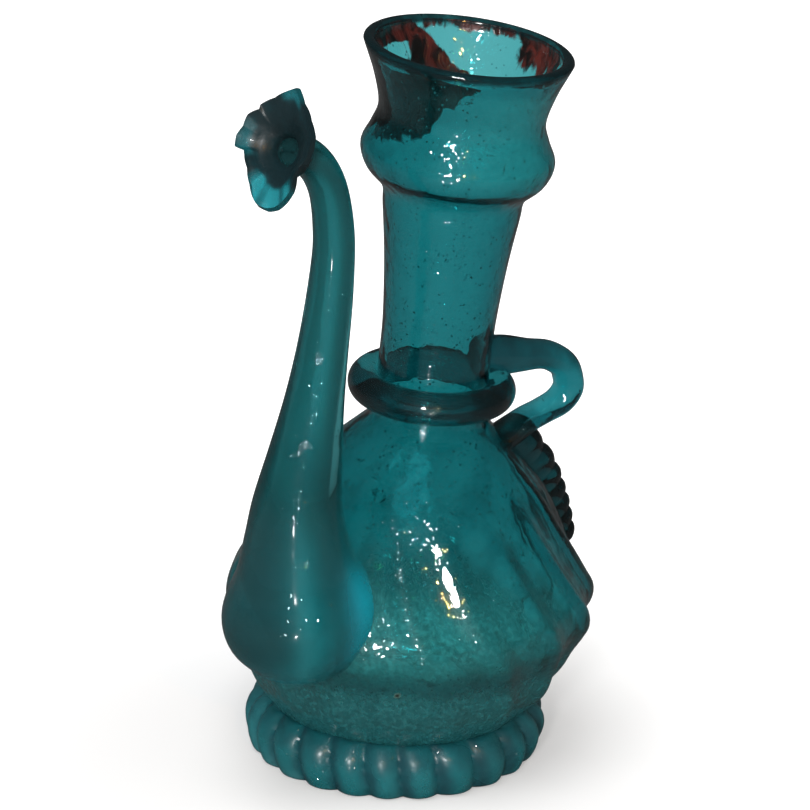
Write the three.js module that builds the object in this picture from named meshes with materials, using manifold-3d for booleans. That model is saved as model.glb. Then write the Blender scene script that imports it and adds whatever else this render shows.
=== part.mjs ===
// A hand-blown glass ewer: a ribbed bulb with a tall neck, a pincered foot, a wound neck ring,
// a tall spout with a pear-shaped root and a petalled mouth, and a small looped handle with a
// crimped tail. Millimetres, +Z up. The spout points along -X. Everything is worked out upright
// first, and then slumped to one side as the soft glass did.
import * as THREE from "three";
import { mergeVertices } from "three/addons/utils/BufferGeometryUtils.js";
import Module from "manifold-3d";

const wasm = await Module();
wasm.setup();

// General sizes
const CLEARANCE = 0.3; // between two pieces of glass that touch
const OVERRUN = 6; // how far a cutting body runs past what it cuts
const MERGE_DISTANCE = 1e-4;

// The glass slumped towards this side: it leans over its foot, and its levels tilt more and
// more towards the rim
const SLUMP_SIDE_DEG = -52;
const SLUMP_LEAN_DEG = 4;
const SLUMP_TILT_DEG = 5.8; // at the rim
const SLUMP_PIVOT_HEIGHT = 18;

// Bulb
const BULB_RADIUS = 62.3;
const BULB_BASE_HEIGHT = 10.5; // the lowest part of the bulb, above the table
const BULB_HEIGHT = 109;
const BULB_WALL = 3;
const KICK_RADIUS = 35; // the base is pushed up inside this radius
const KICK_DEPTH = 9;
const RIB_COUNT = 16;
const RIB_DEPTH = 1.5; // on the side where they are strongest
const RIB_STRONG_SIDE_DEG = -60;
const RIB_FAINT_SHARE = 0.3; // what is left of them on the other side
const RIB_SWIRL_DEG = -54; // how far a rib turns on its way up the bulb
const BULB_SEGMENTS = 5 * RIB_COUNT;
const BULB_RINGS = 17;
const BORE_SEGMENTS = 24;

// Neck and mouth
const RIM_HEIGHT = 249;
const RIM_RADIUS = 34.5;
const RIM_BEAD_RADIUS = 2;
const PINCH_RADIUS = 27.5; // between the knop and the rim
const KNOP_RADIUS = 32;
const NECK_TOP_RADIUS = 22.7;
const NECK_RADIUS = 18.7;
const NECK_WALL = 2.8;
const NECK_SEGMENTS = 28;
const NECK_RINGS = 16;
const BEAD_STEPS = 5; // round the fire-polished edge of the rim
const NECK_JOIN_OVERLAP = 5; // the neck's wall runs this far down into the bulb's

// Ring wound round the foot of the neck
const NECK_RING_RISE = 11; // of its middle above the bulb's top
const NECK_RING_RADIUS = 28.1;
const NECK_RING_THICKNESS = 11.2;
const NECK_RING_SIDES = 10;
const NECK_RING_SEGMENTS = 32;
const NECK_RING_SEAM_DEG = -20; // where the wound thread ends
const NECK_RING_SEAM_DEPTH = 0.9;
const NECK_RING_SEAM_WIDTH_DEG = 7;

// Foot
const FOOT_HEIGHT = 18.5;
const FOOT_PROUD = 7.1; // beyond the bulb at the foot's top
const FOOT_LOBES = 24;
const FOOT_LOBE_DEPTH = 2.7;
const FOOT_SEGMENTS_PER_LOBE = 3;

// Spout
const SPOUT_FOOT_HEIGHT = 42; // the lowest point of its pear-shaped root
const SPOUT_RISE = 186;
const SPOUT_STANDOFF = 3.7; // from the bulb's widest part out to the middle of the tube
const SPOUT_ROOT_RADIUS = 25.4;
const SPOUT_TIP_RADIUS = 6.1;
const SPOUT_ROOT_BORE = 12.3;
const SPOUT_TIP_BORE = 4;
const SPOUT_SIDES = 24;
const SPOUT_HOLE_RADIUS = 7; // pierced through the bulb's wall
const SPOUT_HOLE_RISE = 30; // above the spout's lowest point

// Petalled mouth, a gather worked on the spout's end
const MOUTH_OUTREACH = 8; // of its middle beyond the end of the tube
const MOUTH_RISE = 2.5; // of its middle above the end of the tube
const MOUTH_DEPTH = 11;
const MOUTH_TILT_DEG = 20;
const MOUTH_COLLAR_RADIUS = 8.4;
const MOUTH_NOTCH_RADIUS = 10; // between two petals
const MOUTH_LIP_THICKNESS = 1.8;
const MOUTH_SIDES = 32;

// Handle
const HANDLE_SIDE_DEG = -27;
const HANDLE_ROOT_THICKNESS = 14; // where it leaves the neck
const HANDLE_THICKNESS = 10; // of its upper arm
const HANDLE_THIN_THICKNESS = 8; // of its lower arm
const HANDLE_WIDTH = 12.5;
const HANDLE_END_WIDTH = 16; // where it spreads on the shoulder
const HANDLE_RISE = 27.2; // from its landing on the shoulder up to its top
const HANDLE_DROP = 18.3; // of its landing below the middle of the neck ring
const HANDLE_STANDOFF = 24.5; // of the loop beyond the bulb at its landing
const HANDLE_SIDES = 14;
const HANDLE_STEPS = 26;

// Crimped tail: a gather laid under the handle's landing and down the shoulder
const TAIL_DROP = 2.2; // of its start below the handle's landing
const TAIL_LENGTH = 41; // down the shoulder
const TAIL_PROUD = 9.5;
const TAIL_END_PROUD = 2.5;
const TAIL_WIDTH = 15;
const TAIL_CRIMPS = 7;
const TAIL_CRIMP_DEPTH = 1.8;
const TAIL_STEPS_PER_CRIMP = 4;
const TAIL_SIDES = 10;

// Wad of glass left by the iron in the middle of the base
const SCAR_RADIUS = 9;
const SCAR_THICKNESS = 3;
const SCAR_SEGMENTS = 20;

// The bulb's outline from the rim of its kick to the root of the neck: share of its radius,
// share of its height
const BULB_OUTLINE_SHARES = [
  [0.56, 0],
  [0.64, 0.028],
  [0.7, 0.069],
  [0.76, 0.11],
  [0.818, 0.151],
  [0.867, 0.206],
  [0.908, 0.271],
  [0.96, 0.335],
  [0.994, 0.39],
  [0.985, 0.454],
  [0.925, 0.518],
  [0.844, 0.601],
  [0.753, 0.693],
  [0.65, 0.794],
  [0.51, 0.89],
  [0.395, 0.955],
  [0.33, 1],
];

// Heights up the neck, as shares of the way from the bulb to the rim
const NECK_STATION_SHARES = {
  slim: 0.13,
  straight: 0.26,
  swelling: 0.43,
  top: 0.57,
  ledge: 0.625,
  underKnop: 0.675,
  knop: 0.728,
  overKnop: 0.78,
  pinch: 0.835,
  flare: 0.915,
};

// The neck's swelling between two of its named radii, as shares of the way
const NECK_SWELL_SHARES = {
  swelling: 0.42,
  ledge: 0.12,
  underKnop: 0.76,
  overKnop: 0.42,
  flare: 0.36,
};

// The foot's section: share of its radius, share of its height, going round
const FOOT_SECTION_SHARES = [
  [0.77, 0],
  [0.92, 0],
  [0.975, 0.2],
  [1, 0.5],
  [0.985, 0.74],
  [0.94, 0.91],
  [0.87, 1],
  [0.74, 0.86],
  [0.734, 0.45],
  [0.745, 0.1],
];

// The spout's path: share of its reach, share of its rise, then how far the outside and the bore
// have swollen from the tip's size towards the root's. The bore starts at the first one stated.
const SPOUT_PATH_SHARES = [
  [0.852, 0.001, -0.17, null],
  [0.855, 0.008, 0.135, null],
  [0.86, 0.03, 0.53, null],
  [0.868, 0.062, 0.82, -0.15],
  [0.883, 0.1, 0.98, 0.38],
  [0.902, 0.14, 1, 0.77],
  [0.928, 0.186, 0.86, 1],
  [0.958, 0.228, 0.685, 0.97],
  [0.988, 0.286, 0.55, 0.66],
  [1, 0.343, 0.45, 0.33],
  [0.977, 0.434, 0.31, 0.22],
  [0.95, 0.524, 0.195, 0.145],
  [0.927, 0.614, 0.122, 0.11],
  [0.9125, 0.704, 0.08, 0.07],
  [0.917, 0.794, 0.041, 0.036],
  [0.944, 0.848, 0.028, 0.02],
  [0.991, 0.898, 0.014, 0.01],
  [1.045, 0.932, 0.008, 0],
  [1.121, 0.962, 0.003, 0],
  [1.212, 0.984, 0, 0],
  [1.333, 1, 0, 0],
];

// The mouth's petals, as one looks into it: their directions, how far they reach as shares of the
// notches between them, and how widely and fully they spread
const MOUTH_PETAL_SHARES = [
  { angleDeg: 38, reachShare: 1.5, spreadDeg: 50, fullness: 0.8 },
  { angleDeg: 88, reachShare: 1.97, spreadDeg: 34, fullness: 1.3 },
  { angleDeg: 168, reachShare: 1.56, spreadDeg: 46, fullness: 0.5 },
  { angleDeg: 284, reachShare: 2, spreadDeg: 66, fullness: 1.3 },
];

// How the mouth opens: share of the way out to the petals' edge, share of its depth
const MOUTH_FLARE_SHARES = [
  [-0.14, 0],
  [0, 0.16],
  [0.07, 0.4],
  [0.26, 0.62],
  [0.56, 0.8],
  [0.82, 0.91],
  [1, 1],
];

// The handle's path: share of its reach, share of the way from its landing up to its top
const HANDLE_PATH_SHARES = [
  [0.3, 1.01],
  [0.48, 1],
  [0.63, 0.985],
  [0.78, 0.97],
  [0.873, 0.905],
  [0.948, 0.8],
  [0.988, 0.647],
  [1, 0.482],
  [0.944, 0.316],
  [0.831, 0.2],
  [0.726, 0.107],
  [0.636, 0],
  [0.5, -0.17],
];

// Shares of the handle's path: where its root ends, where it thins, and where it spreads
const HANDLE_ROOT_SHARES = [0.1, 0.32];
const HANDLE_THINNING_SHARES = [0.55, 0.78];
const HANDLE_SPREAD_SHARES = [0.7, 1];

// The tail's width at its end, as a share of its width at the handle
const TAIL_END_WIDTH_SHARE = 0.7;

// The scar's section: share of its radius, share of its thickness below its seat
const SCAR_SECTION_SHARES = { face: 0.6, edge: 0.95, edgeDepth: 0.5 };

// Places where the ribs rise out of the bulb and fade again, as shares of its height
const RIB_RISE_SHARES = [0.03, 0.2];
const RIB_FADE_SHARES = [0.72, 0.96];

// Small helpers
const radians = THREE.MathUtils.degToRad;
const mix = THREE.MathUtils.lerp;
const ease = THREE.MathUtils.smoothstep;

// Heights above the table that follow from the bulb's
const bulbTop = BULB_BASE_HEIGHT + BULB_HEIGHT;
const ringHeight = bulbTop + NECK_RING_RISE;
const landingHeight = ringHeight - HANDLE_DROP;

// A closed geometry as a solid for cutting and joining.
function solid(geometry) {
  const bare = geometry.clone();
  bare.deleteAttribute("normal");
  bare.deleteAttribute("uv");
  const merged = mergeVertices(bare, MERGE_DISTANCE);
  return new wasm.Manifold(
    new wasm.Mesh({
      numProp: 3,
      vertProperties: merged.attributes.position.array,
      triVerts: new Uint32Array(merged.index.array),
    }),
  );
}

// A solid back as a geometry.
function geometryOf(body) {
  const { numProp, vertProperties, triVerts } = body.getMesh();
  const positions = [];
  for (let i = 0; i < vertProperties.length; i += numProp) {
    positions.push(...vertProperties.subarray(i, i + 3));
  }
  const geometry = new THREE.BufferGeometry();
  geometry.setAttribute("position", new THREE.Float32BufferAttribute(positions, 3));
  geometry.setIndex([...triVerts]);
  geometry.computeVertexNormals();
  return geometry;
}

// A profile of (radius, height) points turned round the vessel's axis.
function turned(profile, segments) {
  return new THREE.LatheGeometry(profile, segments).rotateX(Math.PI / 2);
}

// One skin over a row of rings with equally many points. Its last ring joins its first one, or
// each end has a flat cap.
function skin(rings, endless = false) {
  const sides = rings[0].length;
  const points = rings.flat();
  const faces = [];
  const bands = endless ? rings.length : rings.length - 1;
  for (let i = 0; i < bands; i++) {
    const next = (i + 1) % rings.length;
    for (let j = 0; j < sides; j++) {
      const turn = (j + 1) % sides;
      const a = i * sides + j;
      const b = i * sides + turn;
      const c = next * sides + turn;
      const d = next * sides + j;
      faces.push(a, b, c, a, c, d);
    }
  }
  const addCap = (ring, start, flip) => {
    const middle = new THREE.Vector3();
    ring.forEach((p) => middle.addScaledVector(p, 1 / sides));
    points.push(middle);
    for (let j = 0; j < sides; j++) {
      const a = start + j;
      const b = start + ((j + 1) % sides);
      faces.push(points.length - 1, flip ? b : a, flip ? a : b);
    }
  };
  if (!endless) {
    addCap(rings[0], 0, true);
    addCap(rings.at(-1), (rings.length - 1) * sides, false);
  }
  const geometry = new THREE.BufferGeometry().setFromPoints(points);
  geometry.setIndex(faces);
  return geometry;
}

// A ring of points round a path, square to it. The reach may change with the angle.
function ringRound(middle, along, across, sides, reachAcross, reachUp) {
  const up = new THREE.Vector3().crossVectors(along, across).normalize();
  const ring = [];
  for (let i = 0; i < sides; i++) {
    const angle = (2 * Math.PI * i) / sides;
    const point = middle.clone();
    point.addScaledVector(across, reachAcross(angle) * Math.cos(angle));
    point.addScaledVector(up, reachUp(angle) * Math.sin(angle));
    ring.push(point);
  }
  return ring;
}

// Moves an outline of (radius, height) points outwards, square to itself.
function grown(outline, distance) {
  return outline.map((p, i) => {
    const before = outline[Math.max(i - 1, 0)];
    const after = outline[Math.min(i + 1, outline.length - 1)];
    const along = after.clone().sub(before).normalize();
    return new THREE.Vector2(
      Math.max(p.x + along.y * distance, 0),
      p.y - along.x * distance,
    );
  });
}

// A smooth line through a few points, in even steps.
function smooth(points, steps) {
  return new THREE.SplineCurve(points).getSpacedPoints(steps);
}

const onAxis = (height) => new THREE.Vector2(0, height);

// The underside of the base, pushed up towards its middle.
function kickPoint(share) {
  return new THREE.Vector2(
    KICK_RADIUS * share,
    BULB_BASE_HEIGHT + KICK_DEPTH * (1 - share * share),
  );
}

// The bulb's outline from the middle of its kick to the root of the neck.
function bulbOutline(rings) {
  const kick = [0, 0.35, 0.7].map(kickPoint);
  const flank = BULB_OUTLINE_SHARES.map(
    ([radiusShare, heightShare]) =>
      new THREE.Vector2(
        BULB_RADIUS * radiusShare,
        BULB_BASE_HEIGHT + BULB_HEIGHT * heightShare,
      ),
  );
  return smooth([...kick, ...flank], rings);
}

// The bulb's radius at a height on its flank.
function bulbRadiusAt(height) {
  const outline = bulbOutline(BULB_RINGS);
  const i = outline.findIndex((p, k) => k > 0 && p.y > height && outline[k - 1].y <= height);
  const between = (height - outline[i - 1].y) / (outline[i].y - outline[i - 1].y);
  return mix(outline[i - 1].x, outline[i].x, between);
}

// The outside of the neck from the bulb to the middle of the rim's bead.
function neckOutline() {
  const length = RIM_HEIGHT - RIM_BEAD_RADIUS - bulbTop;
  const at = (radius, share) => new THREE.Vector2(radius, bulbTop + length * share);
  const station = NECK_STATION_SHARES;
  const swell = NECK_SWELL_SHARES;
  const points = [
    at(NECK_RADIUS, 0),
    at(NECK_RADIUS, station.slim),
    at(NECK_RADIUS, station.straight),
    at(mix(NECK_RADIUS, NECK_TOP_RADIUS, swell.swelling), station.swelling),
    at(NECK_TOP_RADIUS, station.top),
    at(mix(NECK_TOP_RADIUS, KNOP_RADIUS, swell.ledge), station.ledge),
    at(mix(NECK_TOP_RADIUS, KNOP_RADIUS, swell.underKnop), station.underKnop),
    at(KNOP_RADIUS, station.knop),
    at(mix(PINCH_RADIUS, KNOP_RADIUS, swell.overKnop), station.overKnop),
    at(PINCH_RADIUS, station.pinch),
    at(mix(PINCH_RADIUS, RIM_RADIUS, swell.flare), station.flare),
    at(RIM_RADIUS, 1),
  ];
  return smooth(points, NECK_RINGS);
}

// Raises swirling ribs on a turned bulb and gives its rings the same twist.
function swirlRibs(geometry) {
  const position = geometry.attributes.position;
  const point = new THREE.Vector3();
  const up = new THREE.Vector3(0, 0, 1);
  for (let i = 0; i < position.count; i++) {
    point.fromBufferAttribute(position, i);
    const share = (point.z - BULB_BASE_HEIGHT) / BULB_HEIGHT;
    const strength = ease(share, ...RIB_RISE_SHARES) * (1 - ease(share, ...RIB_FADE_SHARES));
    const radius = Math.hypot(point.x, point.y);
    const angle = Math.atan2(point.y, point.x);
    const swirl = radians(RIB_SWIRL_DEG) * share;
    const facing = (1 + Math.cos(angle + swirl - radians(RIB_STRONG_SIDE_DEG))) / 2;
    const depth = RIB_DEPTH * mix(RIB_FAINT_SHARE, 1, facing);
    if (radius > MERGE_DISTANCE) {
      const raised = radius + depth * strength * Math.cos(RIB_COUNT * angle);
      point.x *= raised / radius;
      point.y *= raised / radius;
    }
    point.applyAxisAngle(up, swirl);
    position.setXYZ(i, point.x, point.y, point.z);
  }
  return geometry;
}

// The bulb filled solid, with its ribs, grown on all sides by a clearance.
function filledBulb(growth) {
  const outline = grown(bulbOutline(BULB_RINGS), growth);
  outline[0].x = 0;
  const top = outline.at(-1);
  const collarTop = new THREE.Vector2(top.x, ringHeight);
  const profile = [...outline, collarTop, onAxis(ringHeight)];
  return solid(swirlRibs(turned(profile, BULB_SEGMENTS)));
}

// The neck filled solid, grown by a clearance.
function filledNeck(growth) {
  const outline = grown(neckOutline(), growth);
  const profile = [onAxis(outline[0].y), ...outline, onAxis(outline.at(-1).y)];
  return solid(turned(profile, NECK_SEGMENTS));
}

// The vessel: bulb, neck and mouth blown as one bubble, pierced once for the spout.
function vessel() {
  const inside = grown(bulbOutline(BULB_RINGS), -BULB_WALL);
  inside[0].x = 0;
  const throatRadius = NECK_RADIUS - NECK_WALL;
  const insideProfile = [
    ...inside.filter((p) => p.x > throatRadius || p.y < BULB_BASE_HEIGHT + BULB_HEIGHT / 2),
    new THREE.Vector2(throatRadius, bulbTop),
    new THREE.Vector2(throatRadius, ringHeight + OVERRUN),
    onAxis(ringHeight + OVERRUN),
  ];
  const bulb = filledBulb(0).subtract(solid(turned(insideProfile, BORE_SEGMENTS)));

  const outer = neckOutline();
  const inner = grown(outer, -NECK_WALL).reverse();
  const low = ringHeight - NECK_JOIN_OVERLAP;
  const outerRun = outer.filter((p) => p.y > low);
  const innerRun = inner.filter((p) => p.y > low);
  const loop = [
    new THREE.Vector2(NECK_RADIUS, low),
    ...outerRun,
    ...beadArc(),
    ...innerRun,
    new THREE.Vector2(NECK_RADIUS - NECK_WALL, low),
    new THREE.Vector2(NECK_RADIUS, low),
  ];
  const neck = solid(turned(loop, NECK_SEGMENTS));

  const hole = new THREE.CylinderGeometry(
    SPOUT_HOLE_RADIUS,
    SPOUT_HOLE_RADIUS,
    BULB_RADIUS,
    BORE_SEGMENTS,
  );
  hole.rotateZ(Math.PI / 2);
  hole.translate(-BULB_RADIUS, 0, SPOUT_FOOT_HEIGHT + SPOUT_HOLE_RISE);
  return geometryOf(bulb.add(neck).subtract(solid(hole)));
}

// The fire-polished edge over the top of the rim, from the outside to the inside.
function beadArc() {
  const middle = new THREE.Vector2(RIM_RADIUS - RIM_BEAD_RADIUS, RIM_HEIGHT - RIM_BEAD_RADIUS);
  const points = [];
  for (let i = 1; i <= BEAD_STEPS; i++) {
    const angle = (Math.PI * i) / (BEAD_STEPS + 1);
    const step = new THREE.Vector2(Math.cos(angle), Math.sin(angle));
    points.push(middle.clone().addScaledVector(step, RIM_BEAD_RADIUS));
  }
  return points;
}

// The foot: a thick thread of glass under the bulb, pincered into lobes.
function foot() {
  const footRadius = bulbRadiusAt(FOOT_HEIGHT) + FOOT_PROUD;
  const section = FOOT_SECTION_SHARES.map(
    ([radiusShare, heightShare]) =>
      new THREE.Vector2(footRadius * radiusShare, FOOT_HEIGHT * heightShare),
  );
  section.push(section[0].clone());
  const boreRadius = Math.min(...section.map((p) => p.x));
  const ring = turned(section, FOOT_LOBES * FOOT_SEGMENTS_PER_LOBE);
  const position = ring.attributes.position;
  const point = new THREE.Vector3();
  for (let i = 0; i < position.count; i++) {
    point.fromBufferAttribute(position, i);
    const radius = Math.hypot(point.x, point.y);
    const angle = Math.atan2(point.y, point.x);
    const crease = 1 - Math.abs(Math.sin((FOOT_LOBES * angle) / 2));
    const outward = ease(radius, boreRadius, footRadius);
    const pressed = radius - FOOT_LOBE_DEPTH * crease * outward;
    position.setXYZ(i, (point.x * pressed) / radius, (point.y * pressed) / radius, point.z);
  }
  return geometryOf(solid(ring).subtract(filledBulb(CLEARANCE)));
}

// The ring wound round the neck, grown by a clearance and not yet cut to its seat, with a crease
// where the thread's end lies on its start.
function neckRingBlank(growth) {
  const inner = NECK_RADIUS - NECK_WALL / 2;
  const halfWidth = (NECK_RING_RADIUS - inner) / 2;
  const halfHeight = NECK_RING_THICKNESS / 2;
  const sides = NECK_RING_SIDES;
  const section = [];
  for (let i = 0; i <= sides; i++) {
    const angle = (2 * Math.PI * i) / sides;
    section.push(
      new THREE.Vector2(
        inner + halfWidth + (halfWidth + growth) * Math.cos(angle),
        ringHeight + (halfHeight + growth) * Math.sin(angle),
      ),
    );
  }
  section[sides] = section[0].clone();
  const ring = turned(section, NECK_RING_SEGMENTS);
  const position = ring.attributes.position;
  const point = new THREE.Vector3();
  for (let i = 0; i < position.count; i++) {
    point.fromBufferAttribute(position, i);
    const radius = Math.hypot(point.x, point.y);
    const angleDeg = THREE.MathUtils.radToDeg(Math.atan2(point.y, point.x));
    const away = (angleDeg - NECK_RING_SEAM_DEG) / NECK_RING_SEAM_WIDTH_DEG;
    const outward = ease(radius, inner, NECK_RING_RADIUS);
    const pressed = radius - NECK_RING_SEAM_DEPTH * Math.exp(-away * away) * outward;
    position.setXYZ(i, (point.x * pressed) / radius, (point.y * pressed) / radius, point.z);
  }
  return solid(ring);
}

// How far the mouth's edge lies from its middle, in a direction across it.
function petalReach(angle) {
  return MOUTH_PETAL_SHARES.reduce((reach, petal) => {
    const turn = angle - radians(petal.angleDeg);
    const away = Math.abs(Math.atan2(Math.sin(turn), Math.cos(turn)));
    const near = Math.max(0, Math.cos(Math.min(1, away / radians(petal.spreadDeg)) * (Math.PI / 2)));
    return reach + MOUTH_NOTCH_RADIUS * (petal.reachShare - 1) * near ** petal.fullness;
  }, MOUTH_NOTCH_RADIUS);
}

// The middles of the rings up the spout's path, which lies in the XZ plane.
function spoutPath() {
  const tubeReach = BULB_RADIUS + SPOUT_STANDOFF;
  return SPOUT_PATH_SHARES.map(
    ([reachShare, riseShare]) =>
      new THREE.Vector3(-tubeReach * reachShare, 0, SPOUT_FOOT_HEIGHT + SPOUT_RISE * riseShare),
  );
}

// The rings up the spout, outside or bore.
function spoutTubeRings(bore, growth = 0) {
  const across = new THREE.Vector3(0, -1, 0);
  const places = spoutPath();
  const [tip, root] = bore
    ? [SPOUT_TIP_BORE, SPOUT_ROOT_BORE]
    : [SPOUT_TIP_RADIUS, SPOUT_ROOT_RADIUS];
  const last = places.length - 1;
  const rings = [];
  SPOUT_PATH_SHARES.forEach(([, , swell, boreSwell], i) => {
    const share = bore ? boreSwell : swell;
    if (share === null) return;
    const before = places[Math.max(i - 1, 0)];
    const after = places[Math.min(i + 1, last)];
    const along = after.clone().sub(before).normalize();
    const middle = places[i].clone().addScaledVector(along, i === last ? growth : 0);
    const reach = () => mix(tip, root, share) + growth;
    rings.push(ringRound(middle, along, across, SPOUT_SIDES, reach, reach));
  });
  return rings;
}

// The spout: one hollow piece from its pear-shaped root to the end of its tube.
function spout() {
  const rings = [...spoutTubeRings(false), ...spoutTubeRings(true).reverse()];
  return geometryOf(solid(skin(rings)).subtract(filledBulb(CLEARANCE)));
}

// The rings that open the mouth into its petals, outside or bore.
function spoutMouthRings(bore) {
  const tilt = radians(MOUTH_TILT_DEG);
  const across = new THREE.Vector3(0, -1, 0);
  const along = new THREE.Vector3(-Math.cos(tilt), 0, Math.sin(tilt));
  const middle = spoutPath().at(-1).add(new THREE.Vector3(-MOUTH_OUTREACH, 0, MOUTH_RISE));
  const throat = bore ? SPOUT_TIP_BORE : MOUTH_COLLAR_RADIUS;
  const trim = bore ? MOUTH_LIP_THICKNESS / 2 : 0;
  return MOUTH_FLARE_SHARES.map(([spread, depth]) => {
    const opened = bore ? Math.max(spread, 0) : spread;
    const forward = bore ? MOUTH_LIP_THICKNESS * depth : 0;
    const place = middle.clone().addScaledVector(along, forward - MOUTH_DEPTH * (1 - depth));
    const reach = (angle) => mix(throat, petalReach(angle) - trim, opened);
    return ringRound(place, along, across, MOUTH_SIDES, reach, reach);
  });
}

// The petalled mouth, with the socket that sits over the end of the spout's tube.
function spoutMouth() {
  const rings = [...spoutMouthRings(false), ...spoutMouthRings(true).reverse()];
  const tube = solid(skin(spoutTubeRings(false, CLEARANCE)));
  return geometryOf(solid(skin(rings, true)).subtract(tube));
}

// The handle, grown by a clearance: a strap that leaves the neck over the ring, loops and lands
// on the shoulder.
function handle(growth) {
  const loopReach = bulbRadiusAt(landingHeight) + HANDLE_STANDOFF;
  const points = HANDLE_PATH_SHARES.map(
    ([reachShare, riseShare]) =>
      new THREE.Vector3(loopReach * reachShare, 0, landingHeight + HANDLE_RISE * riseShare),
  );
  const path = new THREE.CatmullRomCurve3(points);
  const across = new THREE.Vector3(0, 1, 0);
  const rings = [];
  for (let i = 0; i <= HANDLE_STEPS; i++) {
    const share = i / HANDLE_STEPS;
    const width = mix(HANDLE_WIDTH, HANDLE_END_WIDTH, ease(share, ...HANDLE_SPREAD_SHARES));
    const arm = mix(HANDLE_ROOT_THICKNESS, HANDLE_THICKNESS, ease(share, ...HANDLE_ROOT_SHARES));
    const thickness = mix(arm, HANDLE_THIN_THICKNESS, ease(share, ...HANDLE_THINNING_SHARES));
    rings.push(
      ringRound(
        path.getPointAt(share),
        path.getTangentAt(share),
        across,
        HANDLE_SIDES,
        () => width / 2 + growth,
        () => thickness / 2 + growth,
      ),
    );
  }
  return solid(skin(rings).rotateZ(radians(HANDLE_SIDE_DEG)));
}

// The crimped tail that lies on the shoulder under the handle.
function handleTail() {
  const steps = TAIL_CRIMPS * TAIL_STEPS_PER_CRIMP;
  const start = landingHeight - TAIL_DROP;
  const end = start - TAIL_LENGTH;
  const top = new THREE.Vector3(bulbRadiusAt(start), 0, start);
  const bottom = new THREE.Vector3(bulbRadiusAt(end), 0, end);
  const along = bottom.clone().sub(top).normalize();
  const across = new THREE.Vector3(0, 1, 0);
  const rings = [];
  for (let i = 0; i <= steps; i++) {
    const share = i / steps;
    const height = mix(start, end, share);
    const middle = new THREE.Vector3(bulbRadiusAt(height), 0, height);
    const crimp = Math.abs(Math.sin(Math.PI * TAIL_CRIMPS * share));
    const pressed = TAIL_CRIMP_DEPTH * (1 - crimp);
    const proud = mix(TAIL_PROUD, TAIL_END_PROUD + TAIL_CRIMP_DEPTH, share ** 3) - pressed;
    const width = mix(TAIL_WIDTH, TAIL_WIDTH * TAIL_END_WIDTH_SHARE, share) - pressed;
    rings.push(
      ringRound(middle, along, across, TAIL_SIDES, () => width / 2, () => proud),
    );
  }
  return solid(skin(rings).rotateZ(radians(HANDLE_SIDE_DEG)));
}

// The wad of glass that the iron left under the kick.
function pontilScar() {
  const seat = [1, 0.5, 0].map((share) => kickPoint((share * SCAR_RADIUS) / KICK_RADIUS));
  seat.forEach((p) => (p.y -= CLEARANCE));
  const { face, edge, edgeDepth } = SCAR_SECTION_SHARES;
  const bottom = seat[2].y - SCAR_THICKNESS;
  const profile = [
    onAxis(bottom),
    new THREE.Vector2(SCAR_RADIUS * face, bottom),
    new THREE.Vector2(SCAR_RADIUS * edge, seat[0].y - SCAR_THICKNESS * edgeDepth),
    ...seat,
  ];
  return turned(profile, SCAR_SEGMENTS);
}

// Slumps a piece's geometry to one side.
function slumped(geometry) {
  const angle = radians(SLUMP_SIDE_DEG);
  const side = new THREE.Vector3(Math.cos(angle), Math.sin(angle), 0);
  const lean = Math.tan(radians(SLUMP_LEAN_DEG));
  const position = geometry.attributes.position;
  const point = new THREE.Vector3();
  for (let i = 0; i < position.count; i++) {
    point.fromBufferAttribute(position, i);
    const offset = point.dot(side);
    const tilt = Math.tan((radians(SLUMP_TILT_DEG) * point.z) / RIM_HEIGHT);
    point.addScaledVector(side, (point.z - SLUMP_PIVOT_HEIGHT) * lean);
    point.z -= offset * tilt;
    position.setXYZ(i, point.x, point.y, point.z);
  }
  geometry.computeVertexNormals();
  return geometry;
}

// A piece of glass with its colour: thicker glass looks darker.
function glassPiece(name, geometry, colour, roughness) {
  const material = new THREE.MeshStandardMaterial({ color: colour, roughness, metalness: 0 });
  const mesh = new THREE.Mesh(slumped(geometry), material);
  mesh.name = name;
  return mesh;
}

const bulbSeat = filledBulb(CLEARANCE);
const neckSeat = filledNeck(CLEARANCE);
const ringBody = neckRingBlank(0).subtract(bulbSeat).subtract(neckSeat);
const ringSeat = neckRingBlank(CLEARANCE);
const handleBody = handle(0).subtract(bulbSeat).subtract(neckSeat).subtract(ringSeat);
const tailBody = handleTail().subtract(bulbSeat).subtract(handle(CLEARANCE));

const ewer = new THREE.Group();
ewer.add(
  glassPiece("vessel", vessel(), 0x137473, 0.08),
  glassPiece("neck_ring", geometryOf(ringBody), 0x0a3a40, 0.06),
  glassPiece("foot", foot(), 0x116364, 0.1),
  glassPiece("pontil_scar", pontilScar(), 0x14605f, 0.35),
  glassPiece("spout", spout(), 0x146a6c, 0.08),
  glassPiece("spout_mouth", spoutMouth(), 0x12585c, 0.08),
  glassPiece("handle", geometryOf(handleBody), 0x0d5a5c, 0.06),
  glassPiece("handle_tail", geometryOf(tailBody), 0x0b3f44, 0.1),
);

// The origin is under the middle of the whole, on the table.
const box = new THREE.Box3().setFromObject(ewer, true);
const middle = box.getCenter(new THREE.Vector3());
ewer.position.set(-middle.x, -middle.y, -box.min.z);

const part = new THREE.Group();
part.add(ewer);

export default part;
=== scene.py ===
import math

import bpy
import numpy as np
from bpy.props import FloatProperty, FloatVectorProperty, IntProperty, PointerProperty
from mathutils import Matrix, Vector


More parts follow.
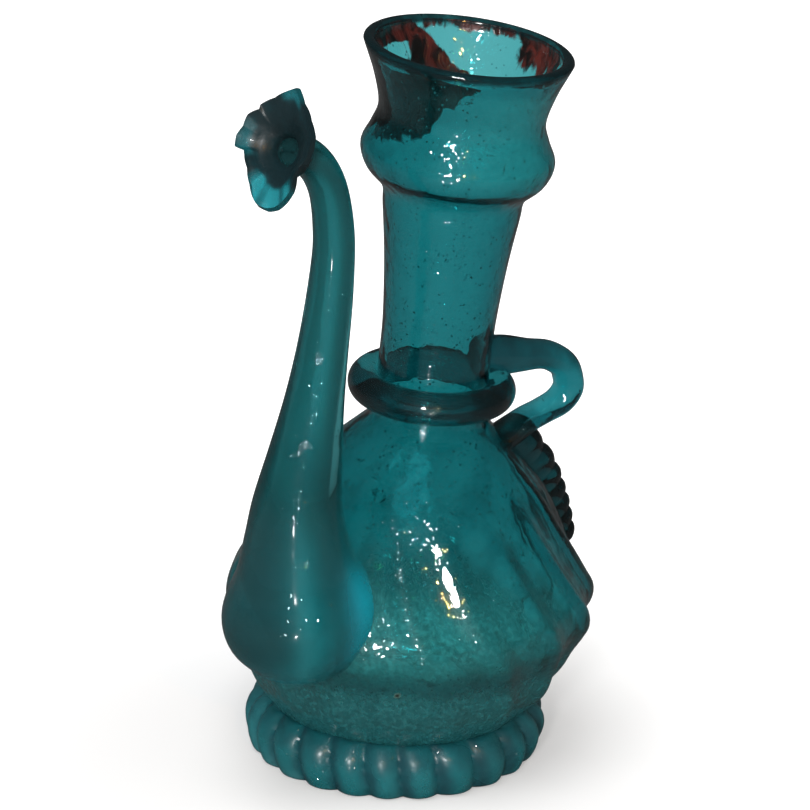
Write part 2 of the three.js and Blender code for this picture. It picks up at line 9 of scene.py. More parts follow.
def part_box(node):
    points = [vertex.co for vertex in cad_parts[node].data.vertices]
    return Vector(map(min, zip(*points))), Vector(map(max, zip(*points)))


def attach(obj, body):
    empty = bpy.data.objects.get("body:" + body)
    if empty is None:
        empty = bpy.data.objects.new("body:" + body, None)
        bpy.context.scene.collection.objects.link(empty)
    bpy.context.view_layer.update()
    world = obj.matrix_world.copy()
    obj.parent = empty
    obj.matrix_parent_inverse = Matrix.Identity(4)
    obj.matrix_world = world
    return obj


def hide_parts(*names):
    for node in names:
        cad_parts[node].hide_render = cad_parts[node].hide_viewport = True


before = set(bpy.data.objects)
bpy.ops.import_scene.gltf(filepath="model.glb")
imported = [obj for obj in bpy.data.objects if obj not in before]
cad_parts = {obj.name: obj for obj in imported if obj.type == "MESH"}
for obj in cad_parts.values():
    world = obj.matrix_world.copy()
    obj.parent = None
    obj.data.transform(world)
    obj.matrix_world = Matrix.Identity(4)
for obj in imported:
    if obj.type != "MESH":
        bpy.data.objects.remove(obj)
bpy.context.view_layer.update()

bl_info = {
    "name": "Glass Ewer",
    "version": (1, 0, 0),
    "blender": (4, 5, 0),
    "location": "View3D > Sidebar > Ewer",
    "description": "Models a hand-blown teal glass ewer piece by piece",
    "category": "Add Mesh",
}

MM = 0.001
TURN = 2 * math.pi

# Heights and radii that several pieces share, in millimetres, upright on the vessel's axis
BULB_RADIUS = 62.3
BULB_BASE = 10.5
BULB_HEIGHT = 109
BULB_TOP = BULB_BASE + BULB_HEIGHT
NECK_RADIUS = 18.7
NECK_WALL = 2.8
RIM_HEIGHT = 249
RIM_RADIUS = 34.5
BEAD = 2
RING_HEIGHT = BULB_TOP + 11
RING_INNER = NECK_RADIUS - 1.4
RING_OUTER = 28.1
RING_HALF_HEIGHT = 5.6
LANDING_HEIGHT = RING_HEIGHT - 18.3
HANDLE_REACH = 51.2
HANDLE_RISE = 27.2
HANDLE_SIDE = math.radians(-27)
KICK_RADIUS = 35
KICK_DEPTH = 9
KICK_STEPS = 8
SCAR_HEIGHT = 15
FOOT_HEIGHT = 18.5
FOOT_PROUD = 7.1
FOOT_SLANT = math.radians(5)
TAIL_LENGTH = 41
TAIL_WIDTH = 15
SPOUT_FOOT = 42
SPOUT_RISE = 186
SPOUT_REACH = BULB_RADIUS + 3.7
SPOUT_RADIUS = 6.1
SPOUT_SWELL = 19.3
BORE_RADIUS = 4
BORE_SWELL = 8.3

# The spout's mouth, in millimetres: its collar on the tube and how wide it is worked out
COLLAR_RADIUS = 8.4
PETAL_RADIUS = 20
PETAL_DEPTH = 11
PETAL_THICKNESS = 1.8
MOUTH_TILT = math.radians(20)

# Where the petals lie across the mouth, in degrees
TIP_PETAL = 84
SIDE_PETAL = 182
TONGUE = 280
TONGUE_FOLDS = 284

# How the soft glass slumped to one side
SLUMP_SIDE = math.radians(-52)
SLUMP_LEAN = math.tan(math.radians(4))
SLUMP_TILT = math.radians(5.8)
SLUMP_PIVOT = 18

# The bulb's outline: share of its radius, share of its height
BULB_OUTLINE = [
    (0.56, 0), (0.64, 0.028), (0.7, 0.069), (0.76, 0.11), (0.818, 0.151), (0.867, 0.206),
    (0.908, 0.271), (0.96, 0.335), (0.994, 0.39), (0.985, 0.454), (0.925, 0.518),
    (0.844, 0.601), (0.753, 0.693), (0.65, 0.794), (0.51, 0.89), (0.395, 0.955),
]

# The neck's outline: radius, share of the way from the bulb's top to the rim
NECK_OUTLINE = [
    (20, 0), (18.9, 0.05), (18.7, 0.13), (18.7, 0.26), (20.4, 0.43), (22.7, 0.57),
    (23.8, 0.625), (29.8, 0.675), (32, 0.728), (29.4, 0.78), (27.5, 0.835), (30, 0.915),
    (34.5, 1),
]

# The spout's path: share of its reach, share of its rise, swell of its outside, of its bore
SPOUT_PATH = [
    (0.852, 0.001, -0.17, None), (0.855, 0.008, 0.135, None), (0.86, 0.03, 0.53, None),
    (0.868, 0.062, 0.82, -0.15), (0.883, 0.1, 0.98, 0.38), (0.902, 0.14, 1, 0.77),
    (0.928, 0.186, 0.86, 1), (0.958, 0.228, 0.685, 0.97), (0.988, 0.286, 0.55, 0.66),
    (1, 0.343, 0.45, 0.33), (0.977, 0.434, 0.31, 0.22), (0.95, 0.524, 0.195, 0.145),
    (0.927, 0.614, 0.122, 0.11), (0.9125, 0.704, 0.08, 0.07), (0.917, 0.794, 0.041, 0.036),
    (0.944, 0.848, 0.028, 0.02), (0.991, 0.898, 0.014, 0.01), (1.045, 0.932, 0.008, 0),
    (1.121, 0.962, 0.003, 0), (1.212, 0.984, 0, 0), (1.333, 1, 0, 0),
]

# Light and dark cords drawn along the spout, partly painted highlight and shade: degrees round it,
# how light or dark
SPOUT_CORDS_AND_PAINTED_LIGHT = [
    (-183, -0.1), (-172, -0.12), (-160, 0), (-145, 0.3), (-137, 0.75), (-130, 0.4),
    (-121, -0.1), (-109, -0.35), (-91, -0.4), (-75, -0.15), (-52, 0), (-30, -0.3), (-8, 0.4),
    (14, -0.2), (40, 0.3), (66, -0.35), (90, 0.1), (110, -0.3), (130, -0.6), (159, -0.55),
]

# Where the vessel's ribs are strong, where its lip's painted shade is fullest, where painted light
# brightens its bulb and where painted light brightens its neck under the mouth
RIB_SIDE = math.radians(-60)
DARK_LIP_SIDE = math.radians(-205)
PAINTED_LIGHT_SIDE = math.radians(-142)
PAINTED_NECK_LIGHT_SIDE = math.radians(-95)

# Where the streaks in the mouth end: height, direction in degrees
STREAK_EDGE = [
    (206, 59), (211, 56), (217, 50), (222, 38), (227, 21), (230, 28), (234, 46), (240, 58),
    (247, 74),
]

# The foot's section: share of its radius, share of its height
FOOT_SECTION = [
    (0.77, 0), (0.92, 0), (0.975, 0.2), (1, 0.5), (0.985, 0.74), (0.94, 0.91), (0.87, 1),
    (0.74, 0.86), (0.734, 0.45), (0.745, 0.1),
]

# The handle's path: share of its reach, share of the way from its landing up to its top
HANDLE_PATH = [
    (0.3, 1.01), (0.48, 1), (0.63, 0.985), (0.78, 0.97), (0.873, 0.905), (0.948, 0.8),
    (0.988, 0.647), (1, 0.482), (0.944, 0.316), (0.831, 0.2), (0.726, 0.107), (0.636, 0),
    (0.5, -0.17),
]

# The spout's mouth: how it opens towards the petals' edge, share of its depth
MOUTH_FLARE = [
    (-0.14, 0), (0, 0.16), (0.07, 0.4), (0.26, 0.62), (0.56, 0.8), (0.82, 0.91), (1, 1),
]

# The petals' edge: direction across the mouth in degrees, distance from its middle
MOUTH_PETALS = [
    (2, 13.9), (28, 15.6), (49, 15.3), (70, 16.7), (83, 19.7), (87, 19.4), (94, 17.9),
    (108, 15.6), (131, 14.6), (134, 13.4), (152, 14.5), (168, 13.8), (182, 15.2), (196, 14.8),
    (202, 10.8), (210, 10.6), (232, 11.4), (252, 14.2), (262, 16.7), (273, 18.8), (284, 19.7),
    (294, 19.2), (306, 18), (319, 16), (333, 13), (344, 12.8),
]

# A grain of grit in the front of the bulb, in metres
GRIT_PLACE = (-0.0292, -0.0329, 0.042)

# The photograph's camera: metres, and its lens in pixels of the frame's width
AIM = Vector((0.01491, 0.00268, 0.123))
DISTANCE = 1.6
AZIMUTH = math.radians(-52)
ELEVATION = math.radians(21)
ROLL = math.radians(2)
SENSOR_WIDTH = 36
LENS_PIXELS = 4800
FRAME_PIXELS = 810

# How steeply the higher of the two tiny lamps looks down
HIGH_SPARK = math.radians(38)

# What a reflection gets of the white surroundings, and where the floor's painted shadow is deepest
REFLECTED_WHITE = 0.035
SHADOW_MIDDLE = (-0.03, 0.004, 0.0)


def mix(a, b, share):
    """Returns what lies this share of the way from a to b."""
    return a + (b - a) * share


def ease(value, low, high):
    """Rises smoothly from 0 at low to 1 at high."""
    share = np.clip((value - low) / (high - low), 0, 1)
    return share * share * (3 - 2 * share)


def between(value, low, rise_end, fall_start, high):
    """Rises smoothly to 1 and falls back to 0."""
    return ease(value, low, rise_end) * (1 - ease(value, fall_start, high))


def hump(value, middle, width):
    """Returns 1 in the middle and less and less to its sides, as a bell does."""
    return np.exp(-(((value - middle) / width) ** 2))


def smooth_line(points, per_span):
    """Draws a smooth line through points, with so many steps between two of them."""
    points = np.array(points, float)
    padded = np.vstack([2 * points[0] - points[1], points, 2 * points[-1] - points[-2]])
    line = []
    for i in range(1, len(padded) - 2):
        a, b, c, d = padded[i - 1 : i + 3]
        for k in range(per_span):
            t = k / per_span
            line.append(
                0.5 * (2 * b + (c - a) * t + (2 * a - 5 * b + 4 * c - d) * t * t
                       + (3 * b - a - 3 * c + d) * t ** 3)
            )
    line.append(points[-1])
    return np.array(line)


def even_line(points, steps):
    """Draws a smooth line through points, in even steps."""
    line = smooth_line(points, 24)
    run = np.concatenate([[0], np.cumsum(np.linalg.norm(np.diff(line, axis=0), axis=1))])
    marks = np.linspace(0, run[-1], steps + 1)
    return np.stack([np.interp(marks, run, line[:, k]) for k in range(line.shape[1])], axis=1)


def scaled(shares, radius, base, height):
    """Turns shares of a radius and of a height into points, in millimetres."""
    return [(radius * r, base + height * h) for r, h in shares]


def grown(outline, distance):
    """Moves an outline of (radius, height) points outwards, square to itself."""
    along = np.gradient(outline, axis=0)
    along /= np.linalg.norm(along, axis=1)[:, None]
    moved = outline + np.stack([along[:, 1], -along[:, 0]], axis=1) * np.reshape(distance, (-1, 1))
    moved[:, 0] = np.maximum(moved[:, 0], 0)
    return moved


def vessel_outline(steps):
    """Draws the vessel's outside from the middle of its kick to its rim's bead."""
    kick = [(KICK_RADIUS * s, BULB_BASE + KICK_DEPTH * (1 - s * s)) for s in (0, 0.35, 0.7)]
    bulb = scaled(BULB_OUTLINE, BULB_RADIUS, BULB_BASE, BULB_HEIGHT)
    neck = scaled(NECK_OUTLINE, 1, BULB_TOP, RIM_HEIGHT - BEAD - BULB_TOP)
    return even_line(kick + bulb + neck, steps)


def bulb_radius(height):
    """Reads the bulb's radius at a height on its flank."""
    flank = smooth_line(scaled(BULB_OUTLINE, BULB_RADIUS, BULB_BASE, BULB_HEIGHT), 8)
    return np.interp(height, flank[:, 1], flank[:, 0])


def clear_selection():
    """Leaves nothing selected."""
    if bpy.context.object and bpy.context.object.mode != "OBJECT":
        bpy.ops.object.mode_set(mode="OBJECT")
    bpy.ops.object.select_all(action="DESELECT")


def make_active(piece):
    """Selects one piece alone."""
    clear_selection()
    piece.select_set(True)
    bpy.context.view_layer.objects.active = piece


def edit_all():
    """Starts to edit the active piece, with all of it selected."""
    bpy.ops.object.mode_set(mode="EDIT")
    bpy.ops.mesh.select_all(action="SELECT")


def extrude(step):
    """Extrudes what is selected by a step in the XZ plane."""
    bpy.ops.mesh.extrude_region_move(TRANSFORM_OT_translate={"value": (step[0], 0, step[1])})


def close_up(piece):
    """Merges doubles and turns all faces outwards."""
    make_active(piece)
    edit_all()
    bpy.ops.mesh.remove_doubles(threshold=2e-6)
    bpy.ops.mesh.normals_make_consistent(inside=False)
    bpy.ops.object.mode_set(mode="OBJECT")


def turned(name, profile, steps):
    """Spins a profile of (radius, height) points once round the upright axis."""
    clear_selection()
    bpy.ops.mesh.primitive_plane_add(size=MM)
    piece = bpy.context.object
    piece.name = name
    edit_all()
    bpy.ops.mesh.merge(type="CENTER")
    place = np.array(profile, float) * MM
    bpy.ops.transform.translate(value=(place[0][0], 0, place[0][1]))
    for before, after in zip(place, place[1:]):
        extrude(after - before)
    bpy.ops.mesh.select_all(action="SELECT")
    bpy.ops.mesh.spin(steps=steps, angle=TURN, center=(0, 0, 0), axis=(0, 0, 1))
    bpy.ops.object.mode_set(mode="OBJECT")
    close_up(piece)
    return piece


def swept(name, path, widths, heights, sides, endless=False):
    """Extrudes a ring along a path in the XZ plane, square to it, with its sizes there."""
    path = np.array(path, float) * MM
    widths = np.array(widths, float) * MM
    heights = np.array(heights, float) * MM
    along = np.gradient(path, axis=0)
    slopes = np.unwrap(np.arctan2(along[:, 0], along[:, 1]))
    clear_selection()
    bpy.ops.mesh.primitive_circle_add(vertices=sides, radius=1)
    piece = bpy.context.object
    piece.name = name
    edit_all()
    bpy.ops.transform.resize(value=(heights[0], widths[0], 1), center_override=(0, 0, 0))
    bpy.ops.transform.translate(value=(path[0][0], 0, path[0][1]))
    turn_ring(path[0], slopes[0])
    if not endless:
        bpy.ops.mesh.edge_face_add()
    for i in range(1, len(path)):
        extrude(path[i] - path[i - 1])
        middle = (path[i][0], 0, path[i][1])
        high = heights[i] / heights[i - 1]
        bpy.ops.transform.resize(
            value=(high, widths[i] / widths[i - 1], high), center_override=middle
        )
        turn_ring(path[i], slopes[i] - slopes[i - 1])
    bpy.ops.object.mode_set(mode="OBJECT")
    close_up(piece)
    return piece


def turn_ring(place, angle):
    """Turns the selected ring round its middle, in the XZ plane."""
    bpy.ops.transform.rotate(
        value=-angle, orient_axis="Y", center_override=(place[0], 0, place[1])
    )


def vectors_of(items, name):
    """Reads the vector of this name from each of a mesh's items."""
    flat = np.empty(len(items) * 3)
    items.foreach_get(name, flat)
    return flat.reshape(-1, 3)


def points_of(piece):
    """Reads a piece's points, in millimetres."""
    return vectors_of(piece.data.vertices, "co") / MM


def set_points(piece, points):
    """Writes a piece's points, in millimetres."""
    piece.data.vertices.foreach_set("co", (points * MM).ravel())
    piece.data.update()


def round_axis(points):
    """Returns how far points lie from the upright axis, and in what direction."""
    return np.hypot(points[:, 0], points[:, 1]), np.arctan2(points[:, 1], points[:, 0])


def mark(piece, name, values):
    """Stores a number for each point of a piece, for its material."""
    layer = piece.data.attributes.new(name, "FLOAT", "POINT")
    layer.data.foreach_set("value", np.asarray(values, np.float32))


def slump(piece):
    """Slumps a piece to one side and sets it where the frame's pieces are."""
    points = points_of(piece)
    side = np.array([math.cos(SLUMP_SIDE), math.sin(SLUMP_SIDE)])
    offset = points[:, :2] @ side
    height = points[:, 2].copy()
    points[:, :2] += np.outer((height - SLUMP_PIVOT) * SLUMP_LEAN, side)
    points[:, 2] -= offset * np.tan(SLUMP_TILT * height / RIM_HEIGHT)
    low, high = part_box("pontil_scar")
    points[:, :2] += np.array([(low.x + high.x) / 2, (low.y + high.y) / 2]) / MM
    points[:, :2] -= side * (SCAR_HEIGHT - SLUMP_PIVOT) * SLUMP_LEAN
    set_points(piece, points)


def cut_to_seat(piece, sink):
    """Cuts a piece to the vessel, so that it sinks a little into the vessel's wall."""
    outline = grown(vessel_outline(170), -sink)
    outline[0][0] = 0
    profile = [*outline, (0, outline[-1][1])]
    seat = turned("seat", profile, 96)
    make_active(piece)
    cut = piece.modifiers.new("Seat", "BOOLEAN")
    cut.operation = "DIFFERENCE"
    cut.solver = "EXACT"
    cut.object = seat
    bpy.ops.object.modifier_apply(modifier=cut.name)
    bpy.data.objects.remove(seat)
    close_up(piece)


def finish_piece(piece, node, material):
    """Slumps a piece, smooths its shading, gives it its material and body, and hides the frame's
    part it stands for.
    """
    slump(piece)
    make_active(piece)
    bpy.ops.object.shade_smooth_by_angle(angle=math.radians(60))
    piece.data.materials.clear()
    piece.data.materials.append(material)
    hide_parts(node)
    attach(piece, "root")


class Sheet:
    """A node sheet with short words for what its makers use again and again."""

    def __init__(self, tree):
        self.tree = tree
        tree.nodes.clear()
        self.coords = None

    def add(self, kind, inputs=None, **options):
        """Adds a node, sets its options, and sets or links the input sockets that are given."""
        node = self.tree.nodes.new(kind)
        for name, value in options.items():
            setattr(node, name, value)
        for name, value in (inputs or {}).items():
            if isinstance(value, bpy.types.NodeSocket):
                self.tree.links.new(value, node.inputs[name])
            elif value is not None:
                node.inputs[name].default_value = value
        return node

    def maths(self, operation, a, b=0.0, c=0.0):
        """Adds a math node and returns its result."""
        return self.add("ShaderNodeMath", {0: a, 1: b, 2: c}, operation=operation).outputs[0]

    def attribute(self, name):
        """Reads what mark() stored for a piece's points."""
        return self.add("ShaderNodeAttribute", attribute_name=name).outputs["Fac"]

    def noise(self, scale, detail=3.0, distortion=0.0, coords=None):
        """Adds a noise and returns its value."""
        return self.add("ShaderNodeTexNoise", {
            "Vector": coords or self.coords, "Scale": scale, "Detail": detail,
            "Distortion": distortion,
        }).outputs[0]

    def ramp(self, value, low, high):
        """Returns 0 up to low and 1 from high on."""
        return self.add(
            "ShaderNodeMapRange", {0: value, 1: low, 2: high}, interpolation_type="SMOOTHSTEP"
        ).outputs[0]

    def blend(self, share, first, second):
        """Mixes two colours, whose sockets are the Mix node's 6 and 7, into its output 2."""
        inputs = {0: share, 6: first, 7: second}
        return self.add("ShaderNodeMix", inputs, data_type="RGBA").outputs[2]

    def bump(self, height, strength, distance, normal=None):
        """Adds a bump, over another one where it is given, and returns its normal."""
        return self.add("ShaderNodeBump", {
            "Height": height, "Strength": strength, "Distance": distance, "Normal": normal,
        }).outputs[0]

    def opaque(self, colour, roughness, normal=None):
        """Adds a shader that no light passes, and returns it."""
        return self.add("ShaderNodeBsdfPrincipled", {
            "Base Color": colour, "Roughness": roughness, "Normal": normal,
        }).outputs[0]

    def layer(self, share, under, over):
        """Covers a share of one shader with another."""
        return self.add("ShaderNodeMixShader", {0: share, 1: under, 2: over}).outputs[0]

    def vectors(self, operation, inputs):
        """Adds a vector math node and returns its outputs."""
        return self.add("ShaderNodeVectorMath", inputs, operation=operation).outputs


def start_material(name):
    """Makes an empty material and returns it with its node sheet."""
    material = bpy.data.materials.new(name)
    material.use_nodes = True
    sheet = Sheet(material.node_tree)
    sheet.coords = sheet.add("ShaderNodeTexCoord").outputs["Object"]
    return material, sheet


def clear_glass(sheet, tint, dullness, waviness, seeds, sparkle=0.0):
    """Adds clear glass with waves, seeds and smears, and with facets where it sparkles."""
    cells = sheet.add("ShaderNodeTexVoronoi", {"Vector": sheet.coords, "Scale": 420.0})
    pit = sheet.maths("SUBTRACT", 1.0, sheet.ramp(cells.outputs["Distance"], 0.08, 0.2))
    pit = sheet.maths("MULTIPLY", pit, sheet.ramp(sheet.noise(140, 1.0), 0.44, 0.54))
    normal = sheet.bump(sheet.noise(55, 2.0), waviness, 0.0012)
    normal = sheet.bump(sheet.noise(150, 1.0), waviness, 0.0006, normal)
    normal = sheet.bump(pit, seeds, 0.0004, normal)
    smear = sheet.ramp(sheet.noise(32, 4.0), 0.4, 0.75)
    rough = sheet.maths("ADD", sheet.maths("MULTIPLY", smear, dullness), dullness * 0.5)
    colour = sheet.blend(sheet.maths("MULTIPLY", pit, 0.7), tint, (0.12, 0.2, 0.2, 1))
    glass = sheet.add("ShaderNodeBsdfPrincipled", {
        "Base Color": colour, "Roughness": rough, "IOR": 1.5, "Normal": normal,
        "Transmission Weight": 1.0,
    })
    if sparkle:
        add_facets(sheet, glass, normal, sparkle)
    return glass.outputs[0]


def add_facets(sheet, shader, normal, sparkle):
    """Gives a shader a coat of tiny facets, which catch the light here and there."""
    facets = sheet.add("ShaderNodeTexVoronoi", {"Vector": sheet.coords, "Scale": 1900.0})
    clusters = sheet.ramp(sheet.noise(80, 2.0), 0.4, 0.66)
    amount = sheet.maths("MULTIPLY_ADD", clusters, sparkle, 0.4 * sparkle)
    tilt = sheet.vectors("ADD", {0: facets.outputs["Color"], 1: (-0.5, -0.5, -0.5)})[0]
    tilt = sheet.vectors("SCALE", {0: tilt, "Scale": amount})[0]
    facing = sheet.vectors("ADD", {0: normal, 1: tilt})[0]
    facing = sheet.vectors("NORMALIZE", {0: facing})[0]
    sheet.tree.links.new(facing, shader.inputs["Coat Normal"])
    shader.inputs["Coat Weight"].default_value = 0.8
    shader.inputs["Coat Roughness"].default_value = 0.03


def clouded(sheet, glass, colour, share):
    """Mixes clear glass with the cloudy glass that thick or worn places show."""
    murk = sheet.blend(sheet.noise(240, 4.0), colour, [0.55 * part for part in colour])
    cloud = sheet.opaque(murk, 0.42, sheet.bump(sheet.noise(480), 0.4, 0.0004))
    drift = sheet.ramp(sheet.noise(48), 0.2, 0.8)
    drift = sheet.maths("MULTIPLY", sheet.maths("MULTIPLY_ADD", drift, 0.5, 0.7), share)
    return sheet.layer(drift, glass, cloud)


def end_material(sheet, surface, share):
    """Adds the glass's depth, as a share of its usual one, and the output."""
    look = bpy.context.scene.ewer_glass
    depth = sheet.add("ShaderNodeVolumeAbsorption", {
        "Color": (*look.depth_colour, 1), "Density": look.depth_density * share,
    })
    sheet.add("ShaderNodeOutputMaterial", {"Surface": surface, "Volume": depth.outputs[0]})


def glass_material(name, share, tint, dullness, waviness, murk, cloud, sparkle=0.0):
    """Makes one of the plain glasses, which takes its colour from its depth."""
    material, sheet = start_material(name)
    surface = clear_glass(sheet, (*tint, 1), dullness, waviness, seeds=0.4, sparkle=sparkle)
    surface = clouded(sheet, surface, (*murk, 1), cloud)
    end_material(sheet, surface, share)
    return material


def thick_and_painted_shade_material(
    name, share, tint, dark_tint, cloud, murk, dark_murk, gain, dullness=0.06, sparkle=0.0
):
    """Makes a worked glass that is dark where its thick mark is high: where its gather was left
    thick, where shade is painted beside the foot's creases and in the tongue's creases, and towards
    the foot's top.
    """
    material, sheet = start_material(name)
    thick = sheet.attribute("thick")
    mottle = sheet.maths("MULTIPLY_ADD", sheet.noise(170, 4.0), 0.7, -0.35)
    thick = sheet.ramp(sheet.maths("ADD", thick, mottle), 0.0, 1.0)
    colour = sheet.blend(thick, (*tint, 1), (*dark_tint, 1))
    surface = clear_glass(sheet, colour, dullness, waviness=0.3, seeds=0.4, sparkle=sparkle)
    murk = sheet.blend(thick, (*murk, 1), (*dark_murk, 1))
    share_here = sheet.maths("MULTIPLY_ADD", thick, gain, cloud)
    cloudy = sheet.opaque(murk, 0.38, sheet.bump(sheet.noise(420), 0.3, 0.0004))
    surface = sheet.layer(share_here, surface, cloudy)
    end_material(sheet, surface, share)
    return material


def add_streaks(sheet, surface):
    """Covers the marked places in the mouth with torn, red-brown and black streaks."""
    area = sheet.attribute("streaks")
    drawn = sheet.add("ShaderNodeMapping", {
        "Vector": sheet.coords, "Rotation": (0.5, 0.35, 0.9), "Scale": (1.0, 1.0, 0.35),
    }).outputs[0]
    blots = sheet.maths("ADD", sheet.noise(66, 4.0, 1.0, drawn), sheet.noise(190, 3.0, 1.5, drawn))
    streak = sheet.maths("SUBTRACT", blots, 1.0)
    streak = sheet.ramp(sheet.maths("ADD", area, streak), 0.38, 0.6)
    streak = sheet.maths("MULTIPLY", streak, sheet.ramp(area, 0.02, 0.1))
    patches = sheet.ramp(sheet.noise(230, 4.0, 1.0, drawn), 0.38, 0.66)
    colour = sheet.blend(patches, (0.006, 0.005, 0.005, 1), (0.072, 0.014, 0.011, 1))
    rust = sheet.opaque(colour, 0.28, sheet.bump(patches, 0.5, 0.0005))
    return sheet.layer(streak, surface, rust)


def add_residue(sheet, surface):
    """Covers the inside of the bulb, low down, with a chalky film."""
    grains = sheet.ramp(sheet.noise(520), 0.35, 0.75)
    grains = sheet.maths("MULTIPLY_ADD", grains, 0.35, 0.4)
    film = sheet.maths("MULTIPLY", sheet.attribute("residue"), grains)
    chalk = sheet.opaque((0.42, 0.6, 0.58, 1), 0.9)
    return sheet.layer(film, surface, chalk)


def add_dark_lip(sheet, surface):
    """Paints shade on the rim, where the glass is thick, as a near-black layer."""
    uneven = sheet.maths("MULTIPLY_ADD", sheet.noise(150), 0.8, -0.4)
    lip = sheet.ramp(sheet.maths("ADD", sheet.attribute("lip"), uneven), 0.3, 0.8)
    dark = sheet.opaque(
        (0.003, 0.011, 0.013, 1), 0.08, sheet.bump(sheet.noise(150, 2.0), 0.3, 0.0008)
    )
    return sheet.layer(sheet.maths("MULTIPLY", lip, 0.84), surface, dark)


def add_haze_and_painted_light(sheet, surface):
    """Lays a thin, worn haze over the outside, with painted light: brighter toward the bulb's
    front, and a bright band painted on the neck under the lip.
    """
    speckle = sheet.ramp(sheet.noise(640), 0.4, 0.7)
    speckle = sheet.maths("MULTIPLY_ADD", speckle, 0.5, 0.6)
    haze_and_painted_light = sheet.maths("MULTIPLY", sheet.attribute("haze_and_painted_light"), speckle)
    colour = sheet.blend(sheet.attribute("painted_light"), (0.02, 0.17, 0.18, 1), (0.05, 0.5, 0.5, 1))
    return sheet.layer(haze_and_painted_light, surface, sheet.opaque(colour, 0.35))


def add_grit(sheet, surface):
    """Sets the large grain of grit into the bulb."""
    away = sheet.vectors("DISTANCE", {0: sheet.coords, 1: GRIT_PLACE})["Value"]
    grain = sheet.maths("SUBTRACT", 1.0, sheet.ramp(away, 0.0009, 0.0016))
    core = sheet.ramp(away, 0.0006, 0.0011)
    colour = sheet.blend(core, (0.006, 0.006, 0.005, 1), (0.06, 0.13, 0.11, 1))
    return sheet.layer(grain, surface, sheet.opaque(colour, 0.4))


def vessel_material():
    """Makes the bubble's glass, with what clings to it inside and out, painted shade on its lip and
    painted light in its haze.
    """
    material, sheet = start_material("blown teal glass")
    surface = clear_glass(
        sheet, (0.97, 0.99, 0.99, 1), dullness=0.02, waviness=0.4, seeds=0.5, sparkle=0.24
    )
    for add_layer in (add_streaks, add_residue, add_dark_lip, add_haze_and_painted_light, add_grit):
        surface = add_layer(sheet, surface)
    end_material(sheet, surface, 1.0)
    return material


def spout_material():
    """Makes the spout's glass, corded and dark above and clear at its root, with painted shade,
    painted highlight bands and a painted glow low on the root.
    """
    material, sheet = start_material("drawn teal glass")
    root = sheet.attribute("root")
    tint = sheet.blend(root, (0.15, 0.47, 0.49, 1), (0.75, 0.95, 0.97, 1))
    shade = sheet.attribute("shade")
    tint = sheet.blend(sheet.maths("MULTIPLY", shade, 0.75), tint, (0.03, 0.1, 0.11, 1))
    surface = clear_glass(sheet, tint, dullness=0.07, waviness=0.2, seeds=0.3)
    glow = sheet.attribute("glow")
    murk = sheet.blend(root, (0.012, 0.19, 0.205, 1), (0.005, 0.145, 0.165, 1))
    pale_cords_and_highlight = sheet.attribute("pale_cords_and_highlight")
    murk = sheet.blend(pale_cords_and_highlight, murk, (0.018, 0.22, 0.245, 1))
    murk = sheet.blend(glow, murk, (0.006, 0.32, 0.42, 1))
    murk = sheet.blend(sheet.maths("MULTIPLY", shade, 0.8), murk, (0.014, 0.045, 0.05, 1))
    normal = sheet.bump(sheet.noise(90, 2.0), 0.25, 0.0008)
    cloudy = sheet.add("ShaderNodeBsdfPrincipled", {
        "Base Color": murk, "Roughness": 0.2, "Specular IOR Level": 0.2, "Normal": normal,
    })
    add_facets(sheet, cloudy, normal, 0.9)
    cloudy = cloudy.outputs[0]
    share = sheet.maths("MULTIPLY_ADD", root, 0.24, 0.3)
    share = sheet.maths("MULTIPLY_ADD", glow, 0.4, share)
    surface = sheet.layer(share, surface, cloudy)
    end_material(sheet, surface, 0.04)
    return material


class EwerGlassSettings(bpy.types.PropertyGroup):
    """Colour of the glass."""

    depth_colour: FloatVectorProperty(
        name="Depth Colour", description="Colour that the glass takes with depth",
        subtype="COLOR", default=(0.12, 0.69, 0.71), min=0, max=1,
    )
    depth_density: FloatProperty(
        name="Depth Density", description="How fast the glass darkens with depth, per metre",
        default=940, min=0,
    )


class EwerVesselSettings(bpy.types.PropertyGroup):
    """The bulb's wall and its ribs."""

    wall: FloatProperty(
        name="Wall", description="Thickness of the bulb's wall",
        subtype="DISTANCE", default=0.003, min=0.001,
    )
    ribs: IntProperty(name="Ribs", description="Number of swirling ribs", default=16, min=3)
    rib_depth: FloatProperty(
        name="Rib Depth", description="How far a rib stands out where it is strongest",
        subtype="DISTANCE", default=0.0017,
    )
    rib_swirl: FloatProperty(
        name="Rib Swirl", description="How far a rib turns on its way up the bulb",
        subtype="ANGLE", default=math.radians(-54),
    )


class EwerTrimSettings(bpy.types.PropertyGroup):
    """The foot's lobes and the crimps of the handle's tail."""

    lobes: IntProperty(
        name="Foot Lobes", description="Number of lobes round the foot", default=24, min=3
    )
    lobe_depth: FloatProperty(
        name="Lobe Depth", description="Depth of the creases between the foot's lobes",
        subtype="DISTANCE", default=0.0027,
    )
    crimps: IntProperty(
        name="Crimps", description="Number of crimps down the handle's tail", default=7, min=1
    )
    crimp_depth: FloatProperty(
        name="Crimp Depth", description="Depth of the creases between two crimps",
        subtype="DISTANCE", default=0.0018,
    )


class EwerStageSettings(bpy.types.PropertyGroup):
    """Light."""

    flash: FloatProperty(
        name="Flash", description="Power of the small lamp beside the camera",
        subtype="POWER", default=12.5, min=0,
    )
    softbox: FloatProperty(
        name="Softbox", description="Power of the broad overhead lamp",
        subtype="POWER", default=18.0, min=0,
    )
    sparks: FloatProperty(
        name="Sparks", description="Power of the two tiny lamps that make the glass glitter",
        subtype="POWER", default=0.5, min=0,
    )
    lantern: FloatProperty(
        name="Lantern", description="Power of the tiny warm lamp beside the flash",
        subtype="POWER", default=2.0, min=0,
    )


